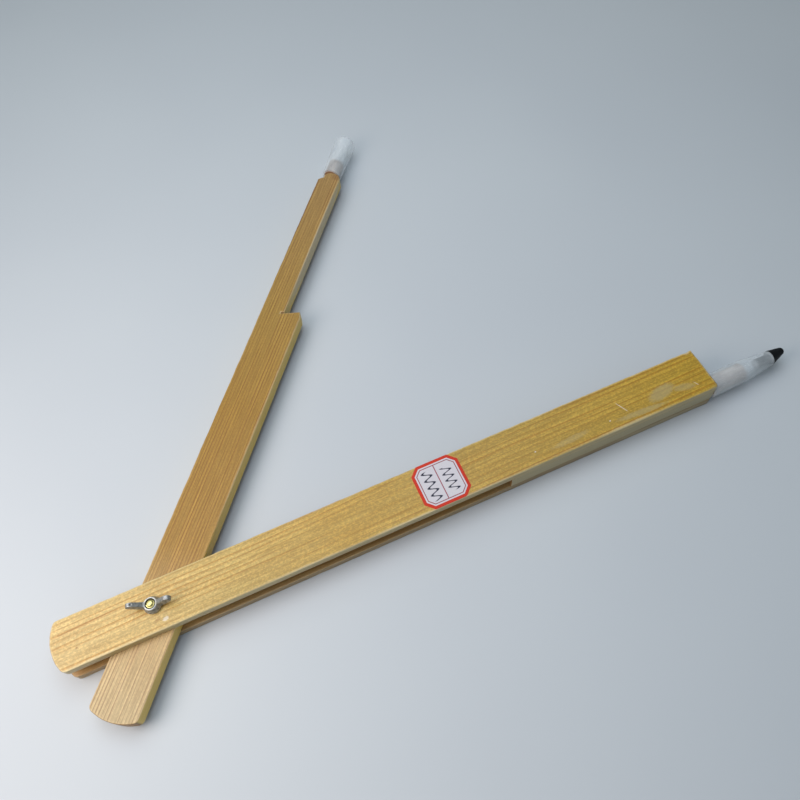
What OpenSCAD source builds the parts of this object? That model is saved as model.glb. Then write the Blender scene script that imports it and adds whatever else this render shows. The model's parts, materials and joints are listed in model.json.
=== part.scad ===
// Folding wooden compass for a classroom board, legs opened on a table.
// Origin: on the table, under the pivot. +X runs along the sheath leg to its
// rubber foot, +Z is up. The swing leg opens towards +Y.

/* [Sheath leg] */
// Width of both legs' boards across the grain
leg_w = 32; // [28:0.5:36]
// Thickness of each outer board
cheek_t = 6.5; // [5:0.5:8]
// Height of the slot between the outer boards
slot_h = 10.5; // [9:0.5:12]
// From the pivot to the tip end of the sheath leg, measured on the foot's axis
sheath_len = 389.2; // [365:0.1:420]
// How far out of square the tip end is cut; the foot stands square on it
foot_lean = 1.6; // [0:0.1:3]
// From the pivot to the crown of the sheath leg's round head end
sheath_head = 63; // [55:1:70]
// From the pivot to the inner end of the spacer block
spacer_start = 234; // [232:1:260]
// Width of the spacer block, glued along the near edge
spacer_w = 13.2; // [10:0.1:13.2]
// Radius of the rounded corner at the tip end
tip_corner_r = 2; // [1:0.5:6]

/* [Swing leg] */
// Angle between the legs as they lie
leg_angle = 51.4; // [20:0.1:120]
// Width of the swing leg's board
swing_w = 31.5; // [28:0.5:32]
// Thickness of the swing leg's board
swing_t = 10; // [8:0.5:10]
// From the pivot to the round tail end
swing_tail = 66; // [55:1:68]
// From the pivot to the inner corner of the step
step_x = 226.8; // [200:0.1:228]
// Width of the narrow part past the step
narrow_w = 18; // [14:0.5:18]
// From the pivot to the round end of the narrow part
swing_len = 373.6; // [350:0.1:380]

/* [Round ends] */
// Radius of the shallow arc across the sheath leg's head
head_r = 30; // [24:1:60]
// Radius of the shallow arc across the swing leg's tail
tail_r = 34; // [24:1:60]
// Radius where an arc meets the long edges
end_corner_r = 4; // [2:0.5:6]

/* [Pivot] */
// Radius of the bolt's shank
bolt_r = 2.5; // [2:0.1:3]
// Height of the bolt's end above the top board
bolt_above = 6.8; // [5.5:0.1:10]
// Radius of the bolt's flat countersunk head
bolt_head_r = 5.4; // [4.5:0.1:6]
// Radius of the washer
washer_r = 5; // [4.5:0.1:7]
// Thickness of the washer
washer_t = 1; // [0.8:0.1:1.5]
// Wing nut's span across both wings
wing_span = 27; // [24:0.5:32]
// Height of the wing nut's round hub
hub_h = 5; // [4:0.5:8]
// Direction of the wings, turned from the sheath leg
wing_turn = -13; // [-90:1:90]

/* [Chalk holder and foot] */
// Radius of the plastic sleeves where they meet the wood
sleeve_r = 7.9; // [7:0.1:8]
// Radius of the chalk holder's swelling near its mouth
mouth_r = 8.9; // [8:0.1:9]
// Length of the chalk holder
holder_len = 42; // [40:0.1:55]
// Radius of the chalk socket
chalk_r = 5.2; // [4.8:0.1:5.6]
// Radius of the turned pegs inside the sleeves
peg_r = 6.2; // [5:0.1:6.4]
// Length of the foot sleeve's straight part
foot_straight = 27.8; // [20:0.1:35]
// Length of the whole foot sleeve
foot_len = 51.2; // [45:0.1:65]
// Radius of the foot sleeve's small end
foot_end_r = 5.2; // [4.5:0.1:6.5]
// Length of the rubber tip outside the sleeve
tip_len = 12.4; // [8:0.1:14]
// How far the rubber tip is bent towards the swing leg
tip_bend = 1; // [0:0.1:2]

/* [Paper label] */
// Length of the label along the leg
label_x = 32.6; // [20:0.2:40]
// Width of the label across the leg
label_y = 31.6; // [20:0.2:32]
// Distance of the label's middle from the pivot
label_at = 190.8; // [100:0.2:250]

/* [Hidden] */
$fn = 64;

total_h = 2 * cheek_t + slot_h;      // all three layers of the sheath leg
mid_h = total_h / 2;                 // both tips' axes lie at this height
swing_gap = (slot_h - swing_t) / 2;  // play above and below the swing leg
bore_gap = 0.06;                     // running clearance round the bolt
hole_gap = 0.1;                      // clearance of the plain bolt holes

head_rim = 0.4;                      // straight rim of the countersunk head
head_gap = 0.15;                     // play round the bolt's head
head_depth = head_rim + bolt_head_r - bolt_r;
neck_h = 2.2;                        // square neck pressed into the board
bolt_chamfer = 0.6;

hub_base_r = 5.3;
hub_top_r = 3.9;
wing_t = 2.2;                        // thickness of a wing
wing_root = [4.2, 2.6];              // root of a wing: out from axis, up
wing_root_r = 2.4;
wing_tip_r = 2.6;
wing_tip = [wing_span / 2 - wing_tip_r, 7.8];

near_y = -leg_w / 2;                 // edge of the sheath leg with the spacer
glue_gap_len = 52;                   // the glue line has opened at the tip
glue_gap_h = 0.8;
foot_y = -9.4;                       // axis of the foot
chalk_v = 7.7;                       // axis of the chalk holder
peg_shank_r = 3.5;
peg_shank_len = 22;
chalk_peg_out = 15;                  // length of the chalk peg in its sleeve
foot_peg_out = 27.3;
holder_start = swing_len + 0.2;
socket_start = holder_start + chalk_peg_out + 0.8;
mouth_round = 4;                     // rounding outside the chalk holder's mouth
lip_r = 1.4;                         // rounding inside it, which runs on from the other
lip_turn = acos((chalk_r + lip_r - mouth_r + mouth_round) / (mouth_round - lip_r));
stem_r = 3.4;                        // rubber tip's stem in the foot sleeve
stem_len = 12;
tip_end_r = 2.8;                     // rounding of the rubber tip's end
tip_rim = 0.5;                       // straight rim at the rubber tip's base

narrow_edge = swing_w / 2 - narrow_w;
step_lean = 3.6;                     // the step's saw cut is not quite square
step_chamfer = [5, 2.1];
kerf_w = 0.9;                        // saw cut run past the step's corner
kerf_len = 2.4;
swing_end_r = 7;                     // rounding of the narrow end, step's side
shoulder_r = 4.5;                    // rounding of it on the other side
shoulder_in = 3.9;                   // shoulder cut in from the long edge
shoulder_start = 8.8;                // its slant, measured from the end
shoulder_stop = 5.6;

label_t = 0.2;
label_cut = 5.4;                     // corners cut off the label

// Points along an arc from angle a0 to angle a1
function arc(c, r, a0, a1, n = 16) =
    [for (i = [0 : n]) c + r * [cos(a0 + (a1 - a0) * i / n), sin(a0 + (a1 - a0) * i / n)]];

// Left-hand end of a board: a shallow arc with rounded corners, crown at -depth
function round_end(depth, w, r, corner) =
    let (
        side = w / 2 - corner,
        turn = 180 - asin(side / (r - corner)),
        centre = [r - depth, 0],
        back = centre[0] - sqrt(pow(r - corner, 2) - pow(side, 2))
    )
    concat(
        arc([back, side], corner, 90, turn, 8),
        arc(centre, r, turn, 360 - turn, 32),
        arc([back, -side], corner, 360 - turn, 270, 8)
    );

// Where the slightly slanted tip end lies at a distance y across the leg
function tip_x(y) = sheath_len - (y - foot_y) * tan(foot_lean);

// Rounded corner of the tip end, on the spacer's side
function tip_corner() =
    let (y = near_y + tip_corner_r)
    arc([tip_x(y) - tip_corner_r / cos(foot_lean), y], tip_corner_r, 270, 360 + foot_lean, 8);

// Outline of both outer boards
module cheek_outline() {
    polygon(concat(
        round_end(sheath_head, leg_w, head_r, end_corner_r),
        tip_corner(),
        [[tip_x(leg_w / 2), leg_w / 2]]
    ));
}

// Outline of the swing leg, lying along +X
module swing_outline() {
    polygon(concat(
        round_end(swing_tail, swing_w, tail_r, end_corner_r),
        [
            [step_x + step_lean - step_chamfer[0], -swing_w / 2],
            [step_x + step_lean, step_chamfer[1] - swing_w / 2],
            [step_x, narrow_edge]
        ],
        arc([swing_len - swing_end_r, narrow_edge + swing_end_r], swing_end_r, 270, 360, 16),
        arc([swing_len - shoulder_r, swing_w / 2 - shoulder_in - shoulder_r], shoulder_r, 0, 90, 12),
        [
            [swing_len - shoulder_stop, swing_w / 2 - shoulder_in],
            [swing_len - shoulder_start, swing_w / 2]
        ]
    ));
}

// Lays a piece drawn about the +Z axis along the foot's axis, at a distance from the tip end
module at_foot(distance) {
    translate([sheath_len, foot_y, mid_h]) rotate([0, 0, foot_lean])
        translate([distance, 0, 0]) rotate([0, 90, 0]) children();
}

// Lays a piece drawn about the +Z axis along the chalk holder's axis, at distance x
module at_holder(x) {
    translate([x, chalk_v, mid_h]) rotate([0, 90, 0]) children();
}

// Puts a piece drawn along +X in the swing leg's place
module in_swing() {
    rotate([0, 0, leg_angle]) children();
}

// Peg with a shank for the wood and a thick end for the sleeve
module turned_peg(out_len) {
    translate([0, 0, -peg_shank_len]) cylinder(r = peg_shank_r, h = peg_shank_len + 1);
    cylinder(r = peg_r, h = out_len);
}

// Square neck that keeps the bolt from turning in the lower board
module bolt_neck() {
    translate([-bolt_r, -bolt_r, head_depth - 1]) cube([2 * bolt_r, 2 * bolt_r, neck_h + 1]);
}

module lower_cheek() {
    color("#b98a4a")
    difference() {
        linear_extrude(cheek_t) cheek_outline();
        rotate_extrude() polygon([
            [0, -1], [bolt_head_r + head_gap, -1], [bolt_head_r + head_gap, head_rim],
            [bolt_r + head_gap, head_depth], [bolt_r + hole_gap, head_depth],
            [bolt_r + hole_gap, cheek_t + 1], [0, cheek_t + 1]
        ]);
        bolt_neck();
    }
}

module spacer_block() {
    inner_y = near_y + spacer_w;
    color("#a08a55")
    difference() {
        translate([0, 0, cheek_t]) linear_extrude(slot_h) polygon(concat(
            [[spacer_start, inner_y], [spacer_start, near_y]],
            tip_corner(),
            [[tip_x(inner_y), inner_y]]
        ));
        translate([sheath_len, inner_y + 1, cheek_t]) rotate([90, 0, 0])
            linear_extrude(spacer_w + 2)
            polygon([[-glue_gap_len, 0], [1, -1], [1, glue_gap_h]]);
        at_foot(-peg_shank_len) cylinder(r = peg_shank_r, h = peg_shank_len + 1);
    }
}

module upper_cheek() {
    color("#d8b266")
    translate([0, 0, cheek_t + slot_h])
    difference() {
        linear_extrude(cheek_t) cheek_outline();
        translate([0, 0, -1]) cylinder(r = bolt_r + hole_gap, h = cheek_t + 2);
    }
}

module paper_label() {
    half_x = label_x / 2;
    half_y = label_y / 2;
    color("#f2f0ec")
    translate([label_at, 0, total_h]) linear_extrude(label_t)
        polygon([
            [-half_x, label_cut - half_y], [label_cut - half_x, -half_y],
            [half_x - label_cut, -half_y], [half_x, label_cut - half_y],
            [half_x, half_y - label_cut], [half_x - label_cut, half_y],
            [label_cut - half_x, half_y], [-half_x, half_y - label_cut]
        ]);
}

module swing_leg() {
    color("#b97e3c")
    in_swing()
    difference() {
        translate([0, 0, cheek_t + swing_gap]) linear_extrude(swing_t) difference() {
            swing_outline();
            translate([step_x, narrow_edge + kerf_len / 2])
                square([kerf_w, kerf_len], center = true);
        }
        cylinder(r = bolt_r + bore_gap, h = total_h);
        at_holder(swing_len - peg_shank_len)
            cylinder(r = peg_shank_r, h = peg_shank_len + 1);
    }
}

module pivot_bolt() {
    end_z = total_h + bolt_above;
    color("#d0b850") {
        rotate_extrude() polygon([
            [0, 0], [bolt_head_r, 0], [bolt_head_r, head_rim], [bolt_r, head_depth],
            [bolt_r, end_z - bolt_chamfer], [bolt_r - bolt_chamfer, end_z], [0, end_z]
        ]);
        bolt_neck();
    }
}

module nut_washer() {
    color("#b8bcc0")
    translate([0, 0, total_h]) difference() {
        cylinder(r = washer_r, h = washer_t);
        translate([0, 0, -1]) cylinder(r = bolt_r + hole_gap, h = washer_t + 2);
    }
}

module wing() {
    rotate([90, 0, 0]) linear_extrude(wing_t, center = true) hull() {
        translate(wing_root) circle(wing_root_r, $fn = 32);
        translate(wing_tip) circle(wing_tip_r, $fn = 32);
    }
}

module wing_nut() {
    color("#8f9498")
    translate([0, 0, total_h + washer_t]) difference() {
        union() {
            cylinder(r1 = hub_base_r, r2 = hub_top_r, h = hub_h);
            for (side = [0, 180]) rotate([0, 0, wing_turn + side]) wing();
        }
        translate([0, 0, -1]) cylinder(r = bolt_r + bore_gap, h = hub_h + 2);
    }
}

module foot_peg() {
    color("#c9a184") at_foot(0) turned_peg(foot_peg_out);
}

module foot_sleeve() {
    cone_len = 6;
    color("#e4e8ea")
    at_foot(0) rotate_extrude() polygon([
        [peg_r, 0], [sleeve_r, 0], [sleeve_r, foot_straight], [foot_end_r, foot_len],
        [stem_r, foot_len], [stem_r, foot_straight + cone_len], [peg_r, foot_straight]
    ]);
}

module rubber_tip() {
    color("#202022")
    at_foot(foot_len) {
        translate([0, 0, -stem_len]) cylinder(r = stem_r, h = stem_len + tip_rim);
        hull() {
            cylinder(r = foot_end_r, h = tip_rim, $fn = 32);
            translate([0, tip_bend, tip_len - tip_end_r]) sphere(tip_end_r, $fn = 32);
        }
    }
}

module chalk_peg() {
    color("#c9a184") in_swing() at_holder(holder_start) turned_peg(chalk_peg_out);
}

module chalk_holder() {
    socket_z = socket_start - holder_start;
    mouth_z = holder_len - lip_r - (mouth_round - lip_r) * sin(lip_turn);
    color("#e4e8ea")
    in_swing() at_holder(holder_start) rotate_extrude() polygon(concat(
        [[peg_r, 0], [sleeve_r, 0], [mouth_r, holder_len - 10]],
        arc([mouth_r - mouth_round, mouth_z], mouth_round, 0, lip_turn - 8, 5),
        arc([chalk_r + lip_r, holder_len - lip_r], lip_r, lip_turn, 180, 12),
        [[chalk_r, socket_z], [peg_r, socket_z]]
    ));
}

lower_cheek();
spacer_block();
upper_cheek();
paper_label();
swing_leg();
pivot_bolt();
nut_washer();
wing_nut();
foot_peg();
foot_sleeve();
rubber_tip();
chalk_peg();
chalk_holder();
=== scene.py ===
import json
import math

import bmesh
import bpy
from mathutils import Matrix, Vector, noise


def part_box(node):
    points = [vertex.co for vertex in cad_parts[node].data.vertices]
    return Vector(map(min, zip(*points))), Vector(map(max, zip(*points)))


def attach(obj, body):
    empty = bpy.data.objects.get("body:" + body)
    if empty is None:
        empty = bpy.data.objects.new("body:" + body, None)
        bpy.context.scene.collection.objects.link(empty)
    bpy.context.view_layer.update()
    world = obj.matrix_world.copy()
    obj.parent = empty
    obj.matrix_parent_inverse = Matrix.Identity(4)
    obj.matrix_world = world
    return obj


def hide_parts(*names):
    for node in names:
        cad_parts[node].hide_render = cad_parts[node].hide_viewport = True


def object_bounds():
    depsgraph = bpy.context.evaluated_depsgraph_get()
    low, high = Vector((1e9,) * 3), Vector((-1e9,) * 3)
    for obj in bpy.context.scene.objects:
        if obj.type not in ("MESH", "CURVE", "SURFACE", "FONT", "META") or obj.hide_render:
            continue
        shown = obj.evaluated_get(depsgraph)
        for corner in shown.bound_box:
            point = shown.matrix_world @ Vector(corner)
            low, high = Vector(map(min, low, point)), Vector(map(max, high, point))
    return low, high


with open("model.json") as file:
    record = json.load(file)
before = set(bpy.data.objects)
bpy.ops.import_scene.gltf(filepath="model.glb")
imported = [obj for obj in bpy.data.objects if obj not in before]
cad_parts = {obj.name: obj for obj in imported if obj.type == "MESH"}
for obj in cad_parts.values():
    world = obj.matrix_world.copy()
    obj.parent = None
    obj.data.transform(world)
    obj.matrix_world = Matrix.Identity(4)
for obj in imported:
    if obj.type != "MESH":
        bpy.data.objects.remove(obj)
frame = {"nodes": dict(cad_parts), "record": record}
cad_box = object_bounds()

# ---- Lower outer board ------------------------------------------------------
# Planed pine board, the bottom layer of the sheath leg. Its head end is sawn to
# a shallow arc, its arrises are rubbed down by hand and painted pale as wear and
# painted highlight, and it is countersunk from below for the pivot bolt. A thin
# clear varnish has yellowed on it.

board_low, board_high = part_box("lower_cheek")
board_width = board_high.y - board_low.y
head_arc = 0.030
end_corner = 0.004
tip_corner = 0.002
bolt_hole = 0.0026
foot_lean = math.radians(1.6)
foot_origin = Vector((0.3892, -0.0094, (board_low.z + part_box("upper_cheek")[1].z) / 2))


def arc(x, y, radius, start, end, steps):
    """Points along an arc, with its angles in degrees."""
    angles = [math.radians(start + (end - start) * i / steps) for i in range(steps + 1)]
    return [(x + radius * math.cos(a), y + radius * math.sin(a)) for a in angles]


def round_end(depth, width, radius, corner):
    """Left-hand end of a board: a shallow arc with rounded corners, its crown at -depth."""
    side = width / 2 - corner
    turn = 180 - math.degrees(math.asin(side / (radius - corner)))
    centre = radius - depth
    back = centre - math.sqrt((radius - corner) ** 2 - side ** 2)
    return (
        arc(back, side, corner, 90, turn, 8)
        + arc(centre, 0, radius, turn, 360 - turn, 32)
        + arc(back, -side, corner, 360 - turn, 270, 8)
    )


def walk(outline, step):
    """The closed outline again, with points added so that none are further apart than step."""
    points = []
    for (x0, y0), (x1, y1) in zip(outline, outline[1:] + outline[:1]):
        gap = math.hypot(x1 - x0, y1 - y0)
        if gap > 1e-6:
            parts = max(1, round(gap / step))
            points += [(x0 + (x1 - x0) * i / parts, y0 + (y1 - y0) * i / parts) for i in range(parts)]
    return points


def inward(points):
    """For each point of a closed outline that runs anticlockwise, the direction into the board."""
    found = []
    for i, here in enumerate(points):
        before, after = Vector(points[i - 1]), Vector(points[(i + 1) % len(points)])
        here = Vector(here)
        a, b = (here - before).normalized(), (after - here).normalized()
        bisector = (Vector((-a.y, a.x)) + Vector((-b.y, b.x))).normalized()
        found.append(bisector / max(0.6, bisector.dot(Vector((-a.y, a.x)))))
    return found


def new_piece(name, bm, smooth_under=35):
    """Turns a bmesh into an object at the origin, smooth except at its real edges."""
    mesh = bpy.data.meshes.new(name)
    for face in bm.faces:
        face.smooth = True
    bm.to_mesh(mesh)
    bm.free()
    mesh.set_sharp_from_angle(angle=math.radians(smooth_under))
    piece = bpy.data.objects.new(name, mesh)
    bpy.context.scene.collection.objects.link(piece)
    return piece


def board(name, outline, low, high, wear, seed, holes=(), dents=(), turn=0.0):
    """Board sawn to an outline between two heights; wear is the width of its lower and upper arris.

    A hole is (x, y, [(radius, height, squareness)...]), and a dent is (x, y, reach, extra wear).
    low may be a function of x. Vertices carry how far onto the rounded arris they lie, which the material
    paints pale as wear and as painted highlight.
    """
    rim = walk(outline, 0.0015)
    into = inward(rim)
    bm = bmesh.new()
    wear_and_highlight_share = bm.verts.layers.float.new("arris")
    fade = 0.0007
    base = low if callable(low) else (lambda x: low)
    steps = (
        (0, 1.0, fade, 0.0, 0.0), (0, 1.0, 0.0, 0.0, 0.5), (0, 0.3, 0.0, 0.3, 1.0),
        (0, 0.0, 0.0, 1.0, 0.5), (0, 0.0, 0.0, 1.0 + 1e-9, 0.0), (1, 0.0, 0.0, 1.0 + 1e-9, 0.0),
        (1, 0.0, 0.0, 1.0, 0.5), (1, 0.3, 0.0, 0.3, 1.0), (1, 1.0, 0.0, 0.0, 0.5),
        (1, 1.0, fade, 0.0, 0.0),
    )
    rings = []
    for side, inset, more, rise, amount in steps:
        ring = []
        for i, (x, y) in enumerate(rim):
            place = Vector((x * 160, y * 160, seed + side * 7.3))
            width = wear[side] * (1 + 0.55 * noise.noise(place) + 0.35 * noise.noise(place * 4.1))
            for dent_x, dent_y, reach, extra in dents if side else ():
                away = math.hypot(x - dent_x, y - dent_y) / reach
                width += extra * max(0.0, 1 - away * away)
            wander = 0.00007 * noise.noise(Vector((x * 60, y * 60, seed + 31)))
            at = Vector((x, y)) + into[i] * (inset * width + more + wander)
            up = width * rise + (fade if rise > 1 else 0)
            z = high - up if side else base(x) + up
            vert = bm.verts.new((at.x, at.y, z))
            vert[wear_and_highlight_share] = amount
            ring.append(vert)
        rings.append(ring)
    for lower, upper in zip(rings, rings[1:]):
        for i in range(len(rim)):
            j = (i + 1) % len(rim)
            bm.faces.new((lower[i], lower[j], upper[j], upper[i]))
    edges = ([], [])
    for x, y, profile in holes:
        stack = []
        for radius, z, square in profile:
            ring = []
            for i in range(48):
                a = 2 * math.pi * (i + 0.5) / 48
                reach = radius * (1 - square + square / max(abs(math.cos(a)), abs(math.sin(a))))
                ring.append(bm.verts.new((x + reach * math.cos(a), y + reach * math.sin(a), z)))
            stack.append(ring)
        for lower, upper in zip(stack, stack[1:]):
            for i in range(48):
                j = (i + 1) % 48
                bm.faces.new((lower[j], lower[i], upper[i], upper[j]))
        for side, ring in ((0, stack[0]), (1, stack[-1])):
            edges[side].extend(bm.edges.get((ring[i - 1], ring[i])) for i in range(48))
    for side, ring in ((0, rings[0]), (1, rings[-1])):
        edges[side].extend(bm.edges.get((ring[i - 1], ring[i])) for i in range(len(rim)))
        bmesh.ops.triangle_fill(bm, edges=edges[side], use_beauty=True)
    bmesh.ops.recalc_face_normals(bm, faces=bm.faces)
    bm.transform(Matrix.Rotation(turn, 4, "Z"))
    return new_piece(name, bm, 50)


def add(tree, kind, inputs=None, **settings):
    """A new shader node with its settings and inputs; an input that is a socket is linked."""
    made = tree.nodes.new("ShaderNode" + kind)
    for key, value in settings.items():
        setattr(made, key, value)
    for key, value in (inputs or {}).items():
        if isinstance(value, bpy.types.NodeSocket):
            tree.links.new(value, made.inputs[key])
        else:
            made.inputs[key].default_value = value
    return made.outputs


def calc(tree, operation, a, b=0.0, clamp=False):
    return add(tree, "Math", {0: a, 1: b}, operation=operation, use_clamp=clamp)[0]


def blend(tree, amount, a, b, way="MIX"):
    """Mixes two colours, given as sockets or as red, green and blue."""
    a, b = [c if isinstance(c, bpy.types.NodeSocket) else (*c, 1.0) for c in (a, b)]
    return add(tree, "Mix", {0: amount, 6: a, 7: b}, data_type="RGBA", blend_type=way)[2]


def ramp(tree, value, stops):
    """Colours or greys along a value; a stop is (place, colour)."""
    out = add(tree, "ValToRGB", {0: value})
    band = out[0].node.color_ramp
    while len(band.elements) < len(stops):
        band.elements.new(0.5)
    for element, (place, colour) in zip(band.elements, stops):
        element.position = place
        element.color = (*colour, 1.0) if hasattr(colour, "__len__") else (colour,) * 3 + (1.0,)
    return out[0]


def span(tree, value, low, high, to_low=0.0, to_high=1.0):
    """A value from low to high, stretched smoothly from to_low to to_high."""
    keys = {"Value": value, 1: low, 2: high, 3: to_low, 4: to_high}
    return add(tree, "MapRange", keys, interpolation_type="SMOOTHSTEP")[0]


def grain_noise(tree, place, stretch, detail=3.0, roughness=0.5, lift=0.0):
    """Noise over a place in millimetres, with its size along, across and up the board."""
    sized = add(tree, "Mapping", {"Vector": place, "Location": (lift, lift, lift),
                                  "Scale": tuple(1 / s for s in stretch)})[0]
    keys = {"Vector": sized, "Scale": 1.0, "Detail": detail, "Roughness": roughness}
    return add(tree, "TexNoise", keys, noise_dimensions="3D")[0]


def bare_material(name):
    """A new material: its node tree and its shader, which is already joined to the output."""
    material = bpy.data.materials.new(name)
    material.use_nodes = True
    tree = material.node_tree
    return material, tree, tree.nodes["Principled BSDF"]


def wood(name, early, late, pith, ring, slope, lengthways, side, end, arris,
         turn=0.0, ring_depth=1.0, fleck=0.12, marks=(), shine=0.42, waver=1.6):
    """Varnished softwood, cut from a log whose pith lies at (across, up) in millimetres.

    ring is the width of a year's growth, slope how the grain runs out of the board's edge and
    waver how far, in rings, the grain strays from straight.
    lengthways tints the colour along the board; side, end and arris tint those surfaces. The arris tint is
    wear and also painted highlight along the rounded arrises.
    A mark is (colour, (x, y, z) mm, (half sizes) mm, degrees, strength, raggedness).
    """
    material, tree, shader = bare_material(name)
    coords = add(tree, "TexCoord")
    turned = (0.0, 0.0, -turn)
    place = add(tree, "Mapping", {"Vector": coords["Object"], "Rotation": turned,
                                  "Scale": (1000.0,) * 3})[0]
    normal = add(tree, "Mapping", {"Vector": coords["Normal"], "Rotation": turned},
                 vector_type="VECTOR")[0]
    along, across, up = add(tree, "SeparateXYZ", {0: place})
    facing = add(tree, "SeparateXYZ", {0: normal})

    bend = grain_noise(tree, place, (190, 30, 30), 1.0)
    ripple = grain_noise(tree, place, (110, 3, 3), 1.0, lift=4.0)
    drift = calc(tree, "MULTIPLY", along, slope)
    from_pith = add(tree, "CombineXYZ", {
        0: calc(tree, "SUBTRACT", calc(tree, "ADD", across, drift), pith[0]),
        1: calc(tree, "SUBTRACT", up, pith[1])})[0]
    radius = add(tree, "VectorMath", {0: from_pith}, operation="LENGTH")["Value"]
    radius = calc(tree, "ADD", radius, calc(tree, "MULTIPLY", bend, ring * waver))
    radius = calc(tree, "ADD", radius, calc(tree, "MULTIPLY", ripple, ring * 0.55))
    year = calc(tree, "FRACT", calc(tree, "DIVIDE", radius, ring))
    latewood = ramp(tree, year, (
        (0.0, 0.15), (0.12, 0.0), (0.55, 0.1), (0.84, 0.75), (0.93, 1.0), (1.0, 0.15)))

    broad = grain_noise(tree, place, (140, 5, 9), 2.0, lift=9.0)
    fibre = grain_noise(tree, place, (30, 0.7, 0.7), 4.0, 0.6, lift=2.0)
    fleck_field = grain_noise(tree, place, (1.5, 1.1, 1.1), 2.0, 0.6, lift=6.0)
    strength = calc(tree, "MULTIPLY", latewood, span(tree, broad, 0.36, 0.62, 0.12, 1.0))
    colour = blend(tree, calc(tree, "MULTIPLY", strength, ring_depth), early, late)
    colour = blend(tree, span(tree, fibre, 0.38, 0.62, 0.0, 0.34), colour,
                   tuple(0.82 * c for c in late))
    colour = blend(tree, 1.0, colour, ramp(tree, span(tree, broad, 0.25, 0.75), (
        (0.0, (0.86, 0.84, 0.80)), (1.0, (1.1, 1.1, 1.08)))), "MULTIPLY")
    colour = blend(tree, 1.0, colour, ramp(tree, span(tree, fleck_field, 0.3, 0.7), (
        (0.0, 1.0 - fleck * 0.45), (0.5, 1.0), (1.0, 1.0 + fleck))), "MULTIPLY")
    low_end, high_end = lengthways[0][0], lengthways[-1][0]
    share = add(tree, "MapRange", {"Value": along, 1: low_end, 2: high_end})[0]
    stops = [((x - low_end) / (high_end - low_end), tint) for x, tint in lengthways]
    colour = blend(tree, 1.0, colour, ramp(tree, share, stops), "MULTIPLY")

    sideways = span(tree, calc(tree, "ABSOLUTE", facing[1]), 0.55, 0.85)
    endways = span(tree, calc(tree, "ABSOLUTE", facing[0]), 0.35, 0.8)
    colour = blend(tree, calc(tree, "MULTIPLY", sideways, side[3]), colour, side[:3])
    end_rings = blend(tree, strength, end, tuple(0.55 * c for c in end))
    colour = blend(tree, endways, colour, end_rings)
    # Painted highlight and wear: the rounded arrises are tinted pale, for both the light caught along them
    # and real rubbing.
    rub_and_highlight = add(tree, "Attribute", attribute_name="arris")["Fac"]
    rub_and_highlight = calc(tree, "MULTIPLY", rub_and_highlight, span(tree, ripple, 0.32, 0.55, 0.25, 1.0))
    rub_and_highlight = calc(tree, "MULTIPLY", rub_and_highlight, calc(tree, "SUBTRACT", 1.0, endways))
    colour = blend(tree, calc(tree, "MULTIPLY", rub_and_highlight, arris[3]), colour, arris[:3])

    ragged = grain_noise(tree, place, (1.6, 0.7, 0.7), 3.0, 0.6, lift=12.0)
    for tint, centre, size, degrees, opacity, raggedness in marks:
        local = add(tree, "Mapping", {"Vector": place, "Location": centre, "Scale": size,
                                      "Rotation": (0.0, 0.0, math.radians(degrees))},
                    vector_type="TEXTURE")[0]
        away = add(tree, "VectorMath", {0: local}, operation="LENGTH")["Value"]
        fray = calc(tree, "MULTIPLY", calc(tree, "SUBTRACT", ragged, 0.5), raggedness)
        away = calc(tree, "ADD", away, fray)
        inside = span(tree, away, 1.0, 0.55, 0.0, opacity)
        colour = blend(tree, inside, colour, tint)

    tree.links.new(colour, shader.inputs["Base Color"])
    rough = span(tree, fibre, 0.3, 0.7, shine - 0.07, shine + 0.1)
    rough = calc(tree, "ADD", rough, calc(tree, "MULTIPLY", endways, 0.2))
    rough = calc(tree, "ADD", rough, calc(tree, "MULTIPLY", rub_and_highlight, 0.15))
    tree.links.new(rough, shader.inputs["Roughness"])
    relief = calc(tree, "ADD", calc(tree, "MULTIPLY", fibre, 0.6), calc(tree, "MULTIPLY", latewood, 0.35))
    bump = add(tree, "Bump", {"Strength": 0.35, "Distance": 0.00012, "Height": relief})[0]
    tree.links.new(bump, shader.inputs["Normal"])
    shader.inputs["Specular IOR Level"].default_value = 0.4
    shader.inputs["Coat Weight"].default_value = 0.12
    shader.inputs["Coat Roughness"].default_value = 0.3
    return material


def tip_x(y):
    """Where the tip end, sawn a little out of square, lies at a distance y across the leg."""
    return foot_origin.x - (y - foot_origin.y) * math.tan(foot_lean)


def tip_end(far_y):
    """Tip end of a board, from its rounded corner across to far_y."""
    y = board_low.y + tip_corner
    x = tip_x(y) - tip_corner / math.cos(foot_lean)
    return arc(x, y, tip_corner, 270, 360 + math.degrees(foot_lean), 8) + [(tip_x(far_y), far_y)]


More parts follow.
